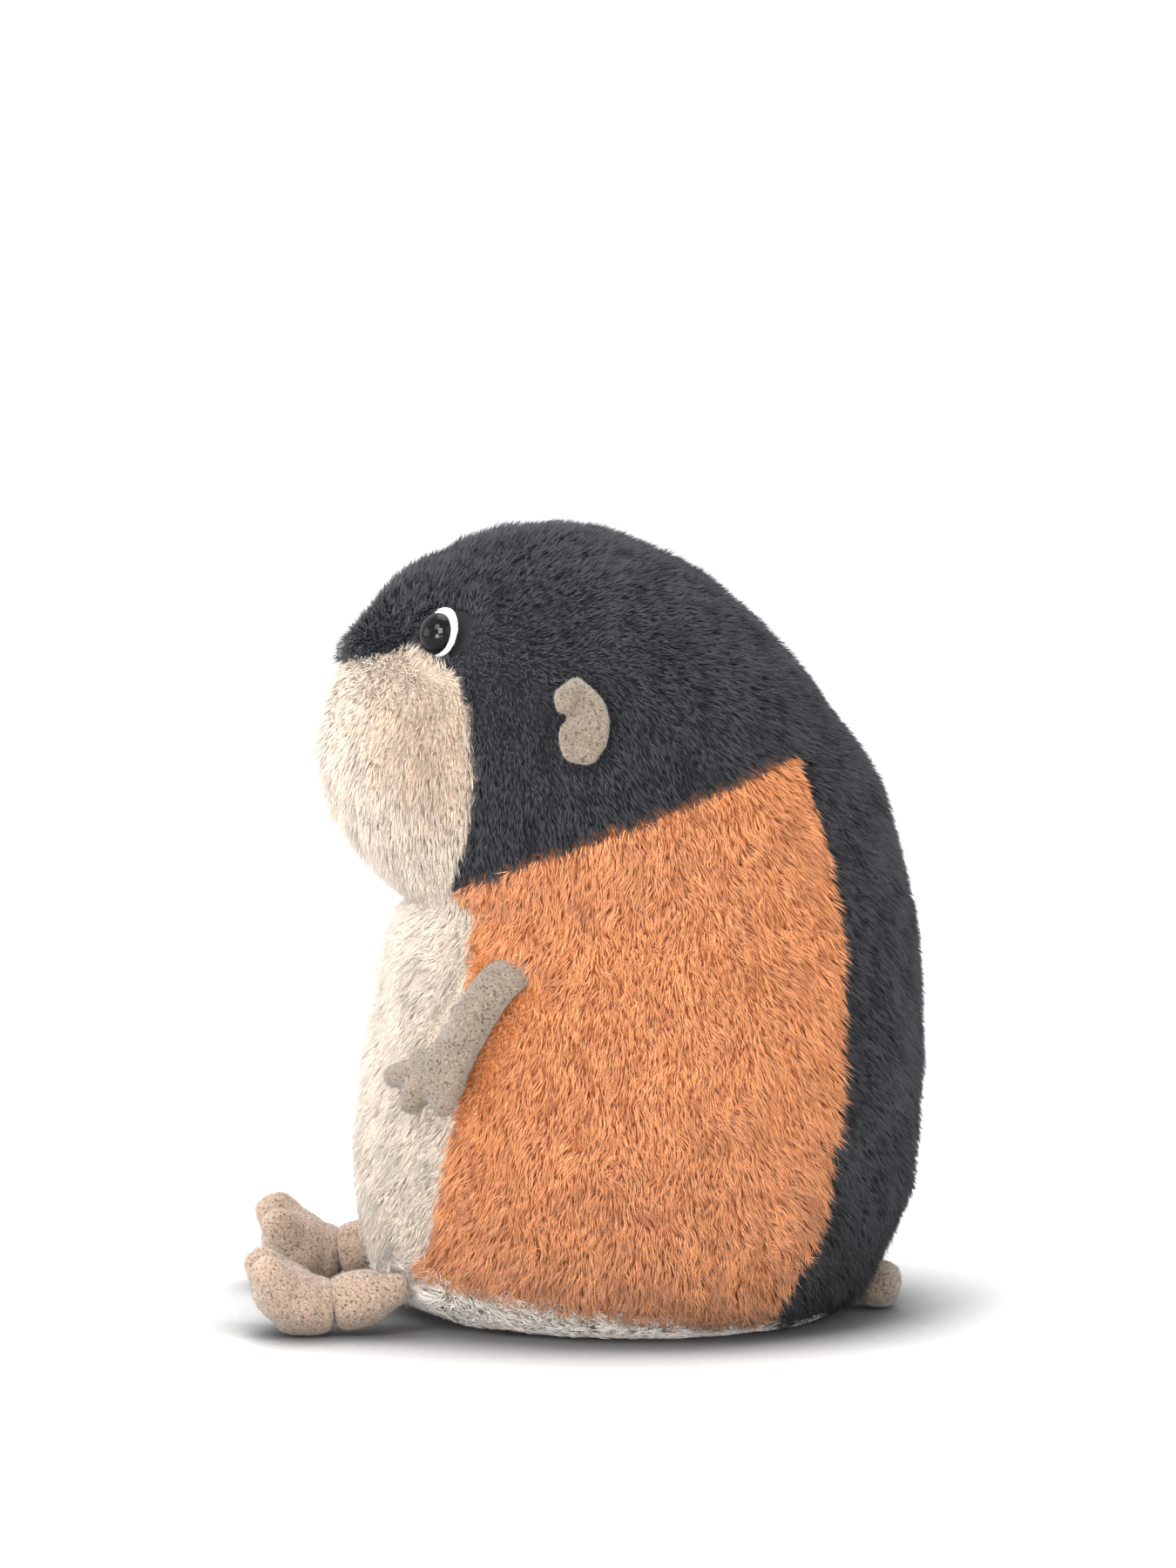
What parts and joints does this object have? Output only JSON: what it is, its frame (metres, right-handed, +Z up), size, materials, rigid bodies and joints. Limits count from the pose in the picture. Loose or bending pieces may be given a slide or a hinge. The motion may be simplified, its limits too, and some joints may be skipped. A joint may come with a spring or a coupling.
{
  "type": "plush rodent toy",
  "caption": "Sitting plush rodent: fur panels sewn round a stuffed, pellet-weighted body, with domed eyes and hinged suede arms, legs, feet, ears and tail.",
  "frame": {"origin": "middle of the flat patch under the body that the toy sits on, at floor height", "axes": "+Z up, the face looks along -Y, +X is the toy's left"},
  "size_m": [0.151, 0.1943, 0.228],
  "materials": {
    "fur_dark": "short pile fur, charcoal",
    "fur_orange": "short pile fur, orange",
    "fur_cream": "short pile fur, cream",
    "suede": "brushed suede cloth, beige",
    "fibre": "loose polyester fibre",
    "felt_white": "pressed felt, off-white",
    "eye_black": "polished black dome",
    "washer_plastic": "moulded",
    "pouch_cloth": "plain woven cotton",
    "pellet_plastic": "packed round pellets",
    "nose_cloth": "suede cloth, mauve grey"
  },
  "bodies": {
    "body": {"muzzle_left": "fur_cream", "muzzle_right": "fur_cream", "face_left": "fur_dark", "face_right": "fur_dark", "crown_panel": "fur_dark", "nape_left": "fur_dark", "nape_right": "fur_dark", "belly_panel": "fur_cream", "flank_left": "fur_orange", "flank_right": "fur_orange", "back_panel": "fur_dark", "base_panel": "fur_cream", "nose": "nose_cloth", "head_stuffing": "fibre", "body_stuffing": "fibre", "pouch_top": "pouch_cloth", "pouch_bottom": "pouch_cloth", "pellets": "pellet_plastic", "eye_left": "eye_black", "eye_right": "eye_black", "eye_felt_left": "felt_white", "eye_felt_right": "felt_white", "eye_washer_left": "washer_plastic", "eye_washer_right": "washer_plastic"},
    "shoulder_left": {"shoulder_left": "suede"},
    "arm_left": {"arm_left_outer": "suede", "arm_left_inner": "suede", "arm_left_stuffing": "fibre"},
    "leg_left": {"leg_left_top": "suede", "leg_left_bottom": "suede", "leg_left_stuffing": "fibre"},
    "foot_left": {"foot_left_top": "suede", "foot_left_sole": "suede", "foot_left_stuffing": "fibre"},
    "ear_left": {"ear_left_back": "suede", "ear_left_front": "suede"},
    "shoulder_right": {"shoulder_right": "suede"},
    "arm_right": {"arm_right_outer": "suede", "arm_right_inner": "suede", "arm_right_stuffing": "fibre"},
    "leg_right": {"leg_right_top": "suede", "leg_right_bottom": "suede", "leg_right_stuffing": "fibre"},
    "foot_right": {"foot_right_top": "suede", "foot_right_sole": "suede", "foot_right_stuffing": "fibre"},
    "ear_right": {"ear_right_back": "suede", "ear_right_front": "suede"},
    "tail": {"tail_top": "suede", "tail_bottom": "suede", "tail_stuffing": "fibre"}
  },
  "joints": [
    {"name": "shoulder_left_swing", "type": "hinge", "parent": "body", "child": "shoulder_left", "pos_m": [0.06546, -0.04059, 0.10579], "axis": [0.7707, -0.5946, 0.2291], "range_deg": [-30, 25], "stiffness_Nm_per_rad": 0.02},
    {"name": "arm_left_lift", "type": "hinge", "parent": "shoulder_left", "child": "arm_left", "pos_m": [0.06546, -0.04059, 0.10579], "axis": [-0.6256, -0.6377, 0.4495], "range_deg": [0, 50], "stiffness_Nm_per_rad": 0.02},
    {"name": "hip_left", "type": "hinge", "parent": "body", "child": "leg_left", "pos_m": [0.04552, -0.06197, 0.01401], "axis": [-1, 0, 0], "range_deg": [-10, 40], "stiffness_Nm_per_rad": 0.06},
    {"name": "ankle_left", "type": "hinge", "parent": "leg_left", "child": "foot_left", "pos_m": [0.04752, -0.0872, 0.0087], "axis": [-1, 0, 0], "range_deg": [-12, 10], "stiffness_Nm_per_rad": 0.02},
    {"name": "ear_left_fold", "type": "hinge", "parent": "body", "child": "ear_left", "pos_m": [0.06226, -0.01675, 0.1883], "axis": [-0.0329, -0.9943, -0.1012], "range_deg": [0, 50], "stiffness_Nm_per_rad": 0.004},
    {"name": "shoulder_right_swing", "type": "hinge", "parent": "body", "child": "shoulder_right", "pos_m": [-0.06546, -0.04059, 0.10579], "axis": [0.7707, 0.5946, -0.2291], "range_deg": [-30, 25], "stiffness_Nm_per_rad": 0.02},
    {"name": "arm_right_lift", "type": "hinge", "parent": "shoulder_right", "child": "arm_right", "pos_m": [-0.06546, -0.04059, 0.10579], "axis": [-0.6256, 0.6377, -0.4495], "range_deg": [0, 50], "stiffness_Nm_per_rad": 0.02},
    {"name": "hip_right", "type": "hinge", "parent": "body", "child": "leg_right", "pos_m": [-0.04552, -0.06197, 0.01401], "axis": [-1, 0, 0], "range_deg": [-10, 40], "stiffness_Nm_per_rad": 0.06},
    {"name": "ankle_right", "type": "hinge", "parent": "leg_right", "child": "foot_right", "pos_m": [-0.04752, -0.0872, 0.0087], "axis": [-1, 0, 0], "range_deg": [-12, 10], "stiffness_Nm_per_rad": 0.02},
    {"name": "ear_right_fold", "type": "hinge", "parent": "body", "child": "ear_right", "pos_m": [-0.06226, -0.01675, 0.1883], "axis": [-0.0329, 0.9943, 0.1012], "range_deg": [0, 50], "stiffness_Nm_per_rad": 0.004},
    {"name": "tail_lift", "type": "hinge", "parent": "body", "child": "tail", "pos_m": [0, 0.071, 0.0099], "axis": [1, 0, 0], "range_deg": [-6, 18], "stiffness_Nm_per_rad": 0.02}
  ]
}
